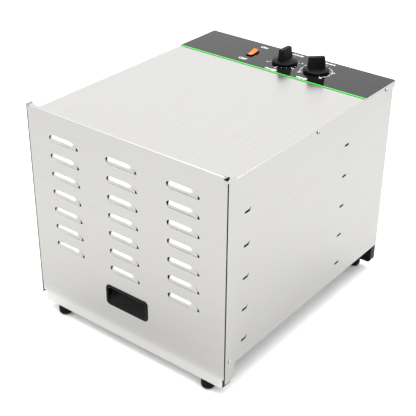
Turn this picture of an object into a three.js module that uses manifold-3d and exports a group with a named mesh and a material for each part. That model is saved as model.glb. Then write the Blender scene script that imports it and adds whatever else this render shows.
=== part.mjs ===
// Food dehydrator: a folded stainless-steel cabinet with a louvred lift-up door, ten wire trays on channel
// runners, a rear fan and heater, and a control strip on the lid.
// Millimetres, +Z up, the door faces -Y. Sizes below are measured from the door's front face (y = 0) and from
// the lower edge of the side panels (z = 0). The finished group stands on z = 0, centred in X and Y.
import * as THREE from 'three';
import { mergeVertices } from 'three/addons/utils/BufferGeometryUtils.js';
import Module from 'manifold-3d';

const wasm = await Module();
wasm.setup();

// ---------------------------------------------------------------- sizes
const sheet = 1;               // thickness of every folded sheet
const touch = 0.3;             // clearance between pieces that rest on each other

// cabinet
const cabinetWidth = 430;      // over the lid's side flanges
const cabinetDepth = 521;      // door front to rear panel
const lidFlange = 12;          // depth of the lid's folded edges
const lidOverhang = 5.6;       // lid beyond the rear panel
const lidFront = 5;            // lid's front edge behind the door's front
const sideReturn = 12.7;       // folded edges of the side panels
const screwMiddle = 256.3;     // front screw from the door's front
const screwInset = 29.2;       // rear screw from the rear panel
const screwEdge = 4.4;         // screws above the lower edge of the lid's flange
const screwShank = 1.8;
const screwHead = 3.4;

// ventilation slots and tray channels
const trayCount = 10;
const trayPitch = 31.5;
const firstRow = 37;           // height of the lowest slot row
const topSpace = 71.7;         // highest slot row to the lid's top
const slotHeight = 2.4;
const slotMargin = 3;          // channel slots beyond the panel slots, all round
const frontSlotPlace = 28.5;   // from the channels' front ends
const frontSlotLength = 17;
const rearSlotPlace = 29.5;    // from the channels' rear ends
const rearSlotLength = 14;
const runnerStart = 22;
const runnerGap = 11;          // channels' rear ends to the bulkhead
const runnerReach = 21.5;      // flange depth towards the middle
const trayClearance = 2;       // trays inside the side panels' folded edges, each side
const traySetback = 4;         // trays behind the channels' front ends
const trayStop = 2;            // trays short of the channels' rear ends
const trayRim = 5;
const trayBar = 4;
const trayGaps = 8;

// door
const doorRise = 11.9;         // door top above the lid
const doorDrop = 14.5;         // door bottom below the side panels
const skinOverlap = 2;         // door skin beyond the lid, each side
const doorReturn = 7;
const returnInset = 3;         // folded top edge inside the lid's width, each side
const channelGap = 3.5;        // side channels' outer faces beyond the door skin
const channelDepth = 25;
const channelDrop = 22;
const channelCorner = 15;
const channelLip = 16;
const lipStart = 3;
const hingeY = 16;
const hingeDrop = 6.2;         // hinge axis below the lid's top
const hingeRadius = 2.5;
const hingeCollar = 5;
const hingeClearance = 0.7;
const catchPlace = [10.8, 20.3];
const catchRadius = 2;
const catchHead = 3.6;

// louvres
const louvreColumns = [-132, 0, 131];
const louvreRows = 7;
const louvreInset = 37.2;      // highest louvre below the lid's top
const louvreAbove = 39;        // lowest louvre above the handle
const louvreLength = 61;
const louvreHeight = 14.5;
const louvreRise = 5;

// recessed handle
const handleZ = 49.3;
const handleWidth = 98;
const handleHeight = 42;
const handleRim = 5;
const handleDepth = 18.5;
const handleWall = 1.5;
const handleCorner = 8;

// base
const apronDrop = 36.7;
const apronInset = 2.5;        // apron inside the lid's width, each side
const apronGap = 0.6;          // apron behind the door skin
const apronFlangeGap = 1;      // apron's top flange to the side panels' folded edges
const apronDepth = 25.4;
const footRadius = 13;
const footHeight = 19.5;
const footEdge = 41;           // foot centres from the lid's sides
const footInset = 13;
const barDepth = 17;           // moulded bar inside the front apron
const barInset = 0.5;          // bar's ends inside the apron's ends
const legWidth = 28.4;
const legDepth = 17;

// control strip
const overlayDepth = 114.6;    // from the lid's rear edge
const overlayThickness = 0.6;
const overlayInset = 0.4;      // from the lid's edges
const controlInset = 59.6;     // switch and knob centres from the lid's rear edge
const switchX = -73;
const switchWidth = 14.6;
const switchLength = 29.4;
const switchBezel = 2;
const switchWall = 1.7;
const switchDepth = 24;
const rockerClearance = 0.4;
const rockerTilt = 10;
const timerX = 4;
const thermostatX = 76;
const knobRadius = 25;
const knobSkirt = 4.8;
const knobHeight = 29.5;
const knobGrip = 15;
const knobGripInset = 8;       // ends of the grip inside the skirt
const thermostatTurn = -45;    // the thermostat's resting turn, degrees
const knobLift = 0.7;
const shaftRadius = 3;
const shaftClearance = 0.7;
const shaftReach = 14;         // below the lid's top
const timerBody = 46;
const timerDepth = 30;
const thermostatRadius = 20;
const thermostatDepth = 24;

// air system
const fanSpace = 126;          // rear panel to the bulkhead's front
const fanZ = 180;
const fanHole = 92;
const fanTip = 7;              // blade tips inside the hole's radius
const fanGap = 16;             // bulkhead's front to the blades' middle
const hubRadius = 18;
const hubLength = 18;
const fanShaft = 4;
const bladeCount = 5;
const bladeChord = 34;
const bladePitch = 35;
const motorRadius = 35;
const motorLength = 46;
const bracketGap = 33;         // blades' middle to the motor bracket
const bracketHeight = 30;
const heaterGap = 16;          // heating ring outside the hole's radius
const heaterTube = 4;
const guardBar = 3;
const guardDepth = 2.5;
const ventRows = 6;
const ventPitch = 12;
const glandX = -150;
const glandZ = 60;
const glandRadius = 8;
const glandFlange = 12;
const glandBore = 4;

// ---------------------------------------------------------------- places that follow from the sizes
const lidHalf = cabinetWidth / 2;
const topRow = firstRow + trayPitch * (trayCount - 2);
const lidTop = topRow + topSpace;
const lidUnder = lidTop - sheet;
const lidRear = cabinetDepth + lidOverhang;
const sideOuter = lidHalf - sheet - touch;
const sideInner = sideOuter - sheet;
const sideFront = lidFront + sheet + touch;
const sideRear = cabinetDepth - sheet - touch;
const sideTop = lidUnder - touch;
const inside = sideInner - touch;
const foldEdge = sideOuter - sideReturn;
const screwDrop = lidFlange - screwEdge;
const screwPlaces = [screwMiddle, cabinetDepth - screwInset];
const bulkheadY = cabinetDepth - fanSpace;
const runnerEnd = bulkheadY - runnerGap;
const frontSlot = [runnerStart + frontSlotPlace, runnerStart + frontSlotPlace + frontSlotLength];
const rearSlot = [runnerEnd - rearSlotPlace, runnerEnd - rearSlotPlace + rearSlotLength];
const trayHalf = foldEdge - trayClearance;
const trayStart = runnerStart + traySetback;
const trayEnd = runnerEnd - trayStop;
const doorTop = lidTop + doorRise;
const skinHalf = lidHalf + skinOverlap;
const returnHalf = lidHalf - returnInset;
const channelOuter = skinHalf + channelGap;
const louvreTop = lidTop - louvreInset;
const louvreBottom = handleZ + handleHeight / 2 + louvreAbove;
const louvrePitch = (louvreTop - louvreBottom) / (louvreRows - 1);
const hingeZ = lidTop - hingeDrop;
const overlayBottom = lidTop + touch;
const overlayTop = overlayBottom + overlayThickness;
const overlayStart = lidRear - overlayDepth;
const overlayHalf = lidHalf - overlayInset;
const controlY = lidRear - controlInset;
const baseZ = sheet + touch;
const apronY = sheet + apronGap;
const apronHalf = lidHalf - apronInset;
const flangeHalf = foldEdge - apronFlangeGap;
const footX = lidHalf - footEdge;
const footTop = -apronDrop - touch;
const footBottom = footTop - footHeight;
const legOuter = sideOuter - touch;
const legInner = legOuter - legWidth;
const rearFaceInner = cabinetDepth - touch;
const knobGripLength = 2 * (knobRadius - knobGripInset);
const fanRadius = fanHole - fanTip;
const fanY = bulkheadY + fanGap;
const bracketY = fanY + bracketGap;
const heaterRadius = fanHole + heaterGap;
const midY = (lidRear - louvreRise) / 2;

// ---------------------------------------------------------------- solids
function solid(geometry) {
  const bare = geometry.clone();
  bare.deleteAttribute('normal');
  bare.deleteAttribute('uv');
  const merged = mergeVertices(bare, 1e-4);
  const mesh = new wasm.Mesh({
    numProp: 3,
    vertProperties: new Float32Array(merged.attributes.position.array),
    triVerts: new Uint32Array(merged.index.array),
  });
  return new wasm.Manifold(mesh);
}

function join(first, ...others) {
  return others.reduce((a, b) => a.add(b), first);
}

function cut(first, ...others) {
  return others.reduce((a, b) => a.subtract(b), first);
}

function block(x0, x1, y0, y1, z0, z1) {
  const g = new THREE.BoxGeometry(x1 - x0, y1 - y0, z1 - z0);
  g.translate((x0 + x1) / 2, (y0 + y1) / 2, (z0 + z1) / 2);
  return solid(g);
}

function outline(points) {
  return new THREE.Shape(points.map(([a, b]) => new THREE.Vector2(a, b)));
}

// an outline in (x, y) extruded up from z0 to z1
function upward(shape, z0, z1) {
  const g = new THREE.ExtrudeGeometry(shape, { depth: z1 - z0, bevelEnabled: false, curveSegments: 5 });
  g.translate(0, 0, z0);
  return solid(g);
}

// an outline in (x, z) extruded from y0 to y1
function backward(shape, y0, y1) {
  const g = new THREE.ExtrudeGeometry(shape, { depth: y1 - y0, bevelEnabled: false, curveSegments: 5 });
  g.rotateX(Math.PI / 2);
  g.translate(0, y1, 0);
  return solid(g);
}

// an outline in (y, z) extruded from x0 to x1
function sideways(shape, x0, x1) {
  const g = new THREE.ExtrudeGeometry(shape, { depth: x1 - x0, bevelEnabled: false, curveSegments: 5 });
  const turn = new THREE.Matrix4().makeBasis(
    new THREE.Vector3(0, 1, 0),
    new THREE.Vector3(0, 0, 1),
    new THREE.Vector3(1, 0, 0),
  );
  g.applyMatrix4(turn);
  g.translate(x0, 0, 0);
  return solid(g);
}

function rounded(cx, cy, width, height, radius) {
  const r = Math.min(radius, width / 2 - 0.01, height / 2 - 0.01);
  const x = width / 2;
  const y = height / 2;
  const s = new THREE.Shape();
  s.moveTo(cx - x + r, cy - y);
  s.lineTo(cx + x - r, cy - y);
  s.absarc(cx + x - r, cy - y + r, r, -Math.PI / 2, 0, false);
  s.lineTo(cx + x, cy + y - r);
  s.absarc(cx + x - r, cy + y - r, r, 0, Math.PI / 2, false);
  s.lineTo(cx - x + r, cy + y);
  s.absarc(cx - x + r, cy + y - r, r, Math.PI / 2, Math.PI, false);
  s.lineTo(cx - x, cy - y + r);
  s.absarc(cx - x + r, cy - y + r, r, Math.PI, Math.PI * 1.5, false);
  return s;
}

// a solid of revolution about +Z, from a profile of (radius, height) listed upwards
function turned(profile, sides) {
  const g = new THREE.LatheGeometry(profile.map(([r, h]) => new THREE.Vector2(r, h)), sides);
  g.rotateX(Math.PI / 2);
  return solid(g);
}

function rod(radius, length, sides) {
  return turned([[0, 0], [radius, 0], [radius, length], [0, length]], sides);
}

const alongX = (s) => s.rotate([0, 90, 0]);
const alongY = (s) => s.rotate([-90, 0, 0]);

function tubeY(x, z, radius, y0, y1, sides) {
  return alongY(rod(radius, y1 - y0, sides)).translate([x, y0, z]);
}

function tubeX(y, z, radius, x0, x1, sides) {
  return alongX(rod(radius, x1 - x0, sides)).translate([x0, y, z]);
}

function tubeZ(x, y, radius, z0, z1, sides) {
  return rod(radius, z1 - z0, sides).translate([x, y, z0]);
}

const mirrored = (s) => s.mirror([1, 0, 0]);

// ---------------------------------------------------------------- finishes and the scene graph
const finishes = {
  steel: { color: 0xdedcd8, roughness: 0.32, metalness: 1 },
  wire: { color: 0xd6d6d6, roughness: 0.2, metalness: 1 },
  film: { color: 0x6d6f6d, roughness: 0.12, metalness: 0 },
  black: { color: 0x0c0c0c, roughness: 0.45, metalness: 0 },
  rubber: { color: 0x090909, roughness: 0.8, metalness: 0 },
  orange: { color: 0xff8c1a, roughness: 0.25, metalness: 0 },
  motor: { color: 0x8e9194, roughness: 0.5, metalness: 1 },
};

const group = new THREE.Group();
group.position.set(0, -midY, -footBottom);

function place(name, manifold, finish) {
  const mesh = manifold.getMesh();
  const g = new THREE.BufferGeometry();
  const step = mesh.numProp;
  const count = mesh.vertProperties.length / step;
  const positions = new Float32Array(count * 3);
  for (let i = 0; i < count; i += 1) {
    positions[3 * i] = mesh.vertProperties[step * i];
    positions[3 * i + 1] = mesh.vertProperties[step * i + 1];
    positions[3 * i + 2] = mesh.vertProperties[step * i + 2];
  }
  g.setAttribute('position', new THREE.BufferAttribute(positions, 3));
  g.setIndex(new THREE.BufferAttribute(new Uint32Array(mesh.triVerts), 1));
  g.computeVertexNormals();
  const item = new THREE.Mesh(g, new THREE.MeshStandardMaterial(finishes[finish]));
  item.name = name;
  group.add(item);
}

// ---------------------------------------------------------------- tray levels
const rows = [];
for (let i = 0; i < trayCount / 2; i += 1) {
  rows.push(firstRow + 2 * trayPitch * i);
}

// ---------------------------------------------------------------- side panels
function slots(x0, x1, margin) {
  const cuts = [];
  const half = slotHeight / 2 + margin;
  for (const z of rows) {
    for (const [y0, y1] of [frontSlot, rearSlot]) {
      cuts.push(block(x0, x1, y0 - margin, y1 + margin, z - half, z + half));
    }
  }
  return cuts;
}

const sidePanel = cut(
  join(
    block(sideInner, sideOuter, sideFront, sideRear, 0, sideTop),
    block(sideOuter - sideReturn, sideOuter, sideFront, sideFront + sheet, 0, sideTop),
    block(sideOuter - sideReturn, sideOuter, sideFront, sideRear, 0, sheet),
  ),
  ...slots(sideInner - 1, sideOuter + 1, 0),
  ...screwPlaces.map((y) => tubeX(y, lidTop - screwDrop, screwShank + touch, sideInner - 1, sideOuter + 1, 12)),
  tubeX(hingeY, hingeZ, hingeRadius + hingeClearance, sideInner - 1, sideOuter + 1, 16),
);
place('side_panel_right', sidePanel, 'steel');
place('side_panel_left', mirrored(sidePanel), 'steel');

// ---------------------------------------------------------------- top cover
const switchCut = rounded(switchX, controlY, switchWidth - 1, switchLength - 1.4, 2);
const bushRadius = shaftRadius + shaftClearance;

function controlCuts(z0, z1) {
  return [
    upward(switchCut, z0, z1),
    tubeZ(timerX, controlY, bushRadius, z0, z1, 16),
    tubeZ(thermostatX, controlY, bushRadius, z0, z1, 16),
  ];
}

const lidSideCuts = [];
for (const side of [-1, 1]) {
  const x0 = side > 0 ? lidHalf - sheet - 1 : -lidHalf - 1;
  const x1 = x0 + sheet + 2;
  for (const y of screwPlaces) {
    lidSideCuts.push(tubeX(y, lidTop - screwDrop, screwShank + touch, x0, x1, 12));
  }
  lidSideCuts.push(tubeX(hingeY, hingeZ, hingeRadius + hingeClearance, x0, x1, 16));
}
const topCover = cut(
  block(-lidHalf, lidHalf, lidFront, lidRear, lidTop - lidFlange, lidTop),
  block(-lidHalf + sheet, lidHalf - sheet, lidFront + sheet, lidRear - sheet, lidTop - lidFlange - 1, lidUnder),
  ...controlCuts(lidUnder - 1, lidTop + 1),
  ...lidSideCuts,
);
place('top_cover', topCover, 'steel');

const screw = turned(
  [[0, 0], [screwShank, 0], [screwShank, 5], [screwHead, 5], [screwHead * 0.86, 6.1], [screwHead * 0.45, 6.7], [0, 6.8]],
  12,
);
screwPlaces.forEach((y, i) => {
  const right = alongX(screw).translate([lidHalf + touch - 5, y, lidTop - screwDrop]);
  place(`lid_screw_right_${i + 1}`, right, 'steel');
  place(`lid_screw_left_${i + 1}`, mirrored(right), 'steel');
});

// ---------------------------------------------------------------- base, rear panel and bulkhead
const basePan = block(-inside, inside, sideFront + sheet + touch, sideRear, baseZ, baseZ + sheet);
place('base_pan', basePan, 'steel');

const vents = [];
for (let i = 0; i < ventRows; i += 1) {
  const z = fanZ + (i - (ventRows - 1) / 2) * ventPitch;
  vents.push(block(-45, 45, cabinetDepth - sheet - 1, cabinetDepth + 1, z - 2, z + 2));
}
const rearPanel = cut(
  block(-sideOuter, sideOuter, cabinetDepth - sheet, cabinetDepth, 0, sideTop),
  ...vents,
  tubeY(glandX, glandZ, glandRadius + touch, cabinetDepth - sheet - 1, cabinetDepth + 1, 24),
);
place('rear_panel', rearPanel, 'steel');

const glandOuter = alongY(turned(
  [[0, 0], [glandRadius, 0], [glandRadius, 16], [glandFlange, 16], [glandFlange * 0.86, 19.4], [0, 19.4]],
  24,
));
const gland = cut(glandOuter, tubeY(0, 0, glandBore, -1, 21, 16));
place('cord_gland', gland.translate([glandX, cabinetDepth + touch - 16, glandZ]), 'black');

const bulkheadBottom = baseZ + sheet + touch;
const bulkhead = cut(
  block(-inside, inside, bulkheadY, bulkheadY + sheet, bulkheadBottom, sideTop),
  tubeY(0, fanZ, fanHole, bulkheadY - 1, bulkheadY + sheet + 1, 36),
);
place('fan_bulkhead', bulkhead, 'steel');

// ---------------------------------------------------------------- channel runners
const runnerOuter = inside;
const runnerInner = runnerOuter - runnerReach;
rows.forEach((z, i) => {
  const low = z - trayPitch / 2;
  const high = z + trayPitch / 2;
  const runner = cut(
    block(runnerInner, runnerOuter, runnerStart, runnerEnd, low - sheet, high),
    block(runnerInner - 1, runnerOuter - sheet, runnerStart - 1, runnerEnd + 1, low, high - sheet),
    ...slots(runnerOuter - sheet - 1, runnerOuter + 1, slotMargin).slice(2 * i, 2 * i + 2),
  );
  place(`runner_right_${i + 1}`, runner, 'steel');
  place(`runner_left_${i + 1}`, mirrored(runner), 'steel');
});

// ---------------------------------------------------------------- trays
const trayCell = (2 * (trayHalf - trayRim) - (trayGaps - 1) * trayBar) / trayGaps;
let tray = block(-trayHalf, trayHalf, trayStart, trayEnd, 0, trayBar);
for (let i = 0; i < trayGaps; i += 1) {
  const x0 = -trayHalf + trayRim + i * (trayCell + trayBar);
  tray = tray.subtract(block(x0, x0 + trayCell, trayStart + trayRim, trayEnd - trayRim, -1, trayBar + 1));
}
for (let i = 0; i < trayCount; i += 1) {
  const z = firstRow - trayPitch / 2 + i * trayPitch + touch;
  place(`tray_${String(i + 1).padStart(2, '0')}`, tray.translate([0, 0, z]), 'wire');
}

// ---------------------------------------------------------------- door
function halfRing(halfHeight, rise, wall) {
  const points = [];
  const steps = 6;
  points.push([sheet, halfHeight]);
  for (let i = 0; i <= steps; i += 1) {
    const a = Math.PI / 2 - (Math.PI * i) / steps;
    points.push([-rise * Math.cos(a), halfHeight * Math.sin(a)]);
  }
  points.push([sheet, -halfHeight], [sheet, -halfHeight + wall]);
  for (let i = 0; i <= steps; i += 1) {
    const a = -Math.PI / 2 + (Math.PI * i) / steps;
    points.push([-(rise - wall) * Math.cos(a), (halfHeight - wall) * Math.sin(a)]);
  }
  points.push([sheet, halfHeight - wall]);
  return points;
}

const louvreShell = sideways(outline(halfRing(louvreHeight / 2, louvreRise, sheet)), -louvreLength / 2, louvreLength / 2);
const louvreHole = block(
  -louvreLength / 2,
  louvreLength / 2,
  -1,
  sheet + 1,
  -louvreHeight / 2 + sheet,
  louvreHeight / 2 - sheet,
);
const cupWidth = handleWidth - 2 * handleRim + 2 * handleWall;
const cupHeight = handleHeight - 2 * handleRim + 2 * handleWall;
const handleHole = backward(
  rounded(0, handleZ, cupWidth + 2 * touch, cupHeight + 2 * touch, handleCorner - handleRim + handleWall + touch),
  -1,
  sheet + 1,
);
let doorPanel = cut(
  join(
    block(-skinHalf, skinHalf, 0, sheet, -doorDrop, doorTop),
    block(-returnHalf, returnHalf, 0, doorReturn, doorTop - sheet, doorTop),
  ),
  block(returnHalf, skinHalf + 1, -1, sheet + 1, doorTop - 3, doorTop + 1),
  block(-skinHalf - 1, -returnHalf, -1, sheet + 1, doorTop - 3, doorTop + 1),
  handleHole,
);
for (const x of louvreColumns) {
  for (let i = 0; i < louvreRows; i += 1) {
    const z = louvreTop - i * louvrePitch;
    doorPanel = doorPanel.subtract(louvreHole.translate([x, 0, z])).add(louvreShell.translate([x, 0, z]));
  }
}
place('door_panel', doorPanel, 'steel');

const channelShape = new THREE.Shape();
channelShape.moveTo(0, -channelDrop);
channelShape.lineTo(channelDepth - channelCorner, -channelDrop);
channelShape.absarc(
  channelDepth - channelCorner,
  -channelDrop + channelCorner,
  channelCorner,
  -Math.PI / 2,
  0,
  false,
);
channelShape.lineTo(channelDepth, lidTop - 2);
channelShape.quadraticCurveTo(channelDepth - 9, lidTop, channelDepth - 10, doorTop);
channelShape.lineTo(0, doorTop);
const lipY = sheet + touch;
const channelInner = channelOuter - sheet;
const channel = cut(
  join(
    sideways(channelShape, channelInner, channelOuter),
    block(channelInner - channelLip, channelInner + 0.5, lipY, lipY + sheet, lipStart, doorTop - 4),
  ),
  tubeX(catchPlace[0], catchPlace[1], catchRadius + touch, channelInner - 1, channelOuter + 1, 16),
);
place('door_side_right', channel, 'steel');
place('door_side_left', mirrored(channel), 'steel');

const stud = alongX(turned(
  [[0, 0], [hingeRadius, 0], [hingeRadius, 7], [hingeCollar, 7], [hingeCollar, 10], [0, 10]],
  16,
)).translate([channelInner - touch - 10, hingeY, hingeZ]);
place('door_hinge_stud_right', stud, 'steel');
place('door_hinge_stud_left', mirrored(stud), 'steel');

const catchPin = alongX(turned(
  [[0, 0], [catchRadius, 0], [catchRadius, 6], [catchHead, 6], [catchHead * 0.8, 7.3], [catchHead * 0.4, 8], [0, 8.1]],
  16,
)).translate([channelOuter + touch - 6, catchPlace[0], catchPlace[1]]);
place('door_catch_right', catchPin, 'steel');
place('door_catch_left', mirrored(catchPin), 'steel');

const cup = cut(
  join(
    backward(rounded(0, handleZ, handleWidth, handleHeight, handleCorner), -1.5, -touch),
    backward(rounded(0, handleZ, cupWidth, cupHeight, handleCorner - handleRim + handleWall), -touch - 0.1, handleDepth),
  ),
  backward(
    rounded(0, handleZ, cupWidth - 2 * handleWall, cupHeight - 2 * handleWall, handleCorner - handleRim),
    -3,
    handleDepth - handleWall,
  ),
);
place('door_handle_cup', cup, 'black');

// ---------------------------------------------------------------- aprons, legs and feet
const apronEnd = apronY + apronDepth;
const apron = join(
  block(-apronHalf, apronHalf, apronY, apronY + sheet, -apronDrop, 0),
  block(-apronHalf, apronHalf, apronY, apronEnd, -apronDrop, -apronDrop + sheet),
  block(-flangeHalf, flangeHalf, apronY, apronY + sheet, -sheet, sheet),
  block(-flangeHalf, flangeHalf, apronY, apronEnd, 0, sheet),
);
place('front_apron', apron, 'steel');

const baseBar = block(
  -apronHalf + barInset,
  apronHalf - barInset,
  apronY + sheet + touch,
  apronY + sheet + touch + barDepth,
  -apronDrop + sheet + touch,
  -sheet - touch,
);
place('front_base_bar', baseBar, 'black');

const rearApronHalf = legInner - touch;
const rearApron = join(
  block(-rearApronHalf, rearApronHalf, sideRear - sheet, sideRear, -apronDrop, sheet),
  block(-rearApronHalf, rearApronHalf, sideRear - apronDepth, sideRear, -apronDrop, -apronDrop + sheet),
  block(-rearApronHalf, rearApronHalf, sideRear - apronDepth, sideRear, 0, sheet),
);
place('rear_apron', rearApron, 'steel');

const legShape = new THREE.Shape();
legShape.moveTo(legInner, -touch);
legShape.lineTo(legInner, -apronDrop);
legShape.lineTo(legOuter - 8, -apronDrop);
legShape.absarc(legOuter - 8, -apronDrop + 8, 8, -Math.PI / 2, 0, false);
legShape.lineTo(legOuter, -touch);
const leg = backward(legShape, rearFaceInner - legDepth, rearFaceInner);
place('rear_leg_right', leg, 'black');
place('rear_leg_left', mirrored(leg), 'black');

const foot = turned(
  [[0, 0], [7, 0], [footRadius - 1.5, 2.5], [footRadius, 7.5], [footRadius - 1, footHeight], [0, footHeight]],
  20,
);
for (const [name, y] of [['front', footInset], ['rear', cabinetDepth - footInset]]) {
  place(`${name}_foot_right`, foot.translate([footX, y, footBottom]), 'rubber');
  place(`${name}_foot_left`, foot.translate([-footX, y, footBottom]), 'rubber');
}

// ---------------------------------------------------------------- control strip
const overlay = cut(
  block(-overlayHalf, overlayHalf, overlayStart, lidRear - overlayInset, overlayBottom, overlayTop),
  ...controlCuts(overlayBottom - 1, overlayTop + 1),
);
place('control_overlay', overlay, 'film');

const bezelBottom = overlayTop + touch;
const bezelTop = bezelBottom + switchBezel;
const rockerWidth = switchWidth - 2 * switchWall - 2 * rockerClearance;
const rockerHalf = switchLength / 2 - switchWall - rockerClearance - 0.6;
const switchBody = cut(
  join(
    upward(rounded(switchX, controlY, switchWidth, switchLength, 3), bezelBottom, bezelTop),
    upward(
      rounded(switchX, controlY, switchWidth - 1.8, switchLength - 2.2, 2),
      bezelTop - switchDepth,
      bezelBottom + 0.1,
    ),
  ),
  block(
    switchX - rockerWidth / 2 - rockerClearance,
    switchX + rockerWidth / 2 + rockerClearance,
    controlY - rockerHalf - rockerClearance - 0.6,
    controlY + rockerHalf + rockerClearance + 0.6,
    bezelTop - 9,
    bezelTop + 1,
  ),
);
place('switch_body', switchBody, 'black');

const rockerPoints = [[-rockerHalf, 3.4], [-rockerHalf, -1], [-6, -3.4], [0, -4.2], [6, -3.4], [rockerHalf, -1]];
rockerPoints.push([rockerHalf, 3.4], [rockerHalf * 0.5, 2], [0, 1.6], [-rockerHalf * 0.5, 2]);
const rocker = sideways(outline(rockerPoints), -rockerWidth / 2, rockerWidth / 2)
  .rotate([rockerTilt, 0, 0])
  .translate([switchX, controlY, bezelTop - 1]);
place('switch_rocker', rocker, 'orange');

function knob(turn) {
  const half = knobGripLength / 2;
  const g = new THREE.Shape();
  g.moveTo(-half, knobSkirt - 0.5);
  g.lineTo(half, knobSkirt - 0.5);
  g.lineTo(half - 1, knobHeight - 3);
  g.quadraticCurveTo(half - 1, knobHeight, half - 4, knobHeight);
  g.lineTo(-half + 4, knobHeight);
  g.quadraticCurveTo(-half + 1, knobHeight, -half + 1, knobHeight - 3);
  const grip = sideways(g, -knobGrip / 2, knobGrip / 2);
  const skirt = turned(
    [[0, 0], [knobRadius - 0.6, 0], [knobRadius, 0.6], [knobRadius - 0.5, knobSkirt - 1], [knobRadius - 2, knobSkirt],
      [0, knobSkirt]],
    32,
  );
  const reach = shaftReach + knobLift + overlayTop - lidTop;
  const shaft = tubeZ(0, 0, shaftRadius, -reach, 0.5, 16);
  return join(skirt, grip, shaft).rotate([0, 0, turn]);
}
place('timer_knob', knob(0).translate([timerX, controlY, overlayTop + knobLift]), 'black');
place('thermostat_knob', knob(thermostatTurn).translate([thermostatX, controlY, overlayTop + knobLift]), 'black');

const half = timerBody / 2;
const timer = cut(
  block(timerX - half, timerX + half, controlY - half, controlY + half, sideTop - timerDepth, sideTop),
  tubeZ(timerX, controlY, bushRadius, lidTop - shaftReach - 2, lidTop, 16),
);
place('timer_body', timer, 'motor');
const thermostat = cut(
  tubeZ(thermostatX, controlY, thermostatRadius, sideTop - thermostatDepth, sideTop, 24),
  tubeZ(thermostatX, controlY, bushRadius, lidTop - shaftReach - 2, lidTop, 16),
);
place('thermostat_body', thermostat, 'motor');

// ---------------------------------------------------------------- fan, motor and heater
const blade = new THREE.BoxGeometry(fanRadius - hubRadius + 4, 2, bladeChord);
blade.rotateX(THREE.MathUtils.degToRad(bladePitch));
blade.translate((fanRadius + hubRadius - 4) / 2, 0, 0);
let fan = tubeY(0, 0, hubRadius, -hubLength / 2, hubLength / 2, 24);
for (let i = 0; i < bladeCount; i += 1) {
  fan = fan.add(solid(blade).rotate([0, (360 / bladeCount) * i, 0]));
}
const shaftEnd = bracketY + sheet * 2 + 12;
fan = fan.add(tubeY(0, 0, fanShaft, 0, shaftEnd - fanY, 16));
place('fan_blade', fan.translate([0, fanY, fanZ]), 'black');

const bracketRear = bracketY + 2 * sheet;
const bracket = cut(
  join(
    block(-inside, inside, bracketY, bracketRear, fanZ - bracketHeight / 2, fanZ + bracketHeight / 2),
    tubeY(0, fanZ, motorRadius, bracketY, bracketRear, 24),
  ),
  tubeY(0, fanZ, fanShaft + 2, bracketY - 1, bracketRear + 1, 16),
);
place('motor_bracket', bracket, 'steel');

const motorY = bracketRear + touch;
const motor = cut(
  tubeY(0, fanZ, motorRadius, motorY, motorY + motorLength, 24),
  tubeY(0, fanZ, fanShaft + 0.8, motorY - 1, shaftEnd + 2, 16),
);
place('fan_motor', motor, 'motor');

const ring = new THREE.TorusGeometry(heaterRadius, heaterTube, 8, 36);
ring.rotateX(Math.PI / 2);
let heater = solid(ring);
for (const a of [45, 135, 225, 315]) {
  const x = heaterRadius * Math.cos(THREE.MathUtils.degToRad(a));
  const z = heaterRadius * Math.sin(THREE.MathUtils.degToRad(a));
  heater = heater.add(tubeY(x, z, 2.5, bulkheadY + sheet + touch - fanY, 0, 8));
}
place('heating_element', heater.translate([0, fanY, fanZ]), 'motor');

function flatRing(outer, inner) {
  const s = new THREE.Shape();
  s.absarc(0, 0, outer, 0, Math.PI * 2, false);
  const h = new THREE.Path();
  h.absarc(0, 0, inner, 0, Math.PI * 2, true);
  s.holes.push(h);
  const g = new THREE.ExtrudeGeometry(s, { depth: guardDepth, bevelEnabled: false, curveSegments: 24 });
  g.rotateX(Math.PI / 2);
  g.translate(0, guardDepth, 0);
  return solid(g);
}
const guardOuter = fanHole + 2 * guardBar;
let guard = flatRing(guardOuter, guardOuter - guardBar);
for (const share of [0.25, 0.5, 0.75]) {
  guard = guard.add(flatRing(guardOuter * share, guardOuter * share - guardBar));
}
const spoke = block(-guardOuter + 1, guardOuter - 1, 0, guardDepth, -guardBar / 2, guardBar / 2);
guard = join(guard, spoke, spoke.rotate([0, 90, 0]));
place('fan_guard', guard.translate([0, bulkheadY - touch - guardDepth, fanZ]), 'wire');

export default group;
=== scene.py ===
"""Food dehydrator: the visual model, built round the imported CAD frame."""

import math

import bmesh
import bpy
from mathutils import Matrix, Vector


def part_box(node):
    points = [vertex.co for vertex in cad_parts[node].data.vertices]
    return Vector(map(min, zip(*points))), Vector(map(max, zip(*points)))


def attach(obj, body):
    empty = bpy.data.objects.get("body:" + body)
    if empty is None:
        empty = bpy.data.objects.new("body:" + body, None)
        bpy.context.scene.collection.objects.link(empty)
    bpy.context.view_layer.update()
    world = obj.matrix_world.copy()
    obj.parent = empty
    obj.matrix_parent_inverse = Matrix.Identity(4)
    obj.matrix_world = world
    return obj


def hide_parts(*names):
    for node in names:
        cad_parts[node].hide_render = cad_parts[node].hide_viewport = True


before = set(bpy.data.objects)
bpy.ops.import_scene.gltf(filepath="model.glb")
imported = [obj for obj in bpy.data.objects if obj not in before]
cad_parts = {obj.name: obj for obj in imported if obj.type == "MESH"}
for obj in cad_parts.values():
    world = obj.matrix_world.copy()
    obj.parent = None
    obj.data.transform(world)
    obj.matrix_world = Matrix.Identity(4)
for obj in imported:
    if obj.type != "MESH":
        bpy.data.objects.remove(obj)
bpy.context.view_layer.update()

bl_info = {
    "name": "Food Dehydrator",
    "version": (1, 0, 0),
    "blender": (4, 5, 0),
    "location": "View3D > Sidebar > Dehydrator",
    "description": "Builds a folded stainless-steel food dehydrator with a louvred lift-up door",
    "category": "Object",
}

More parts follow.
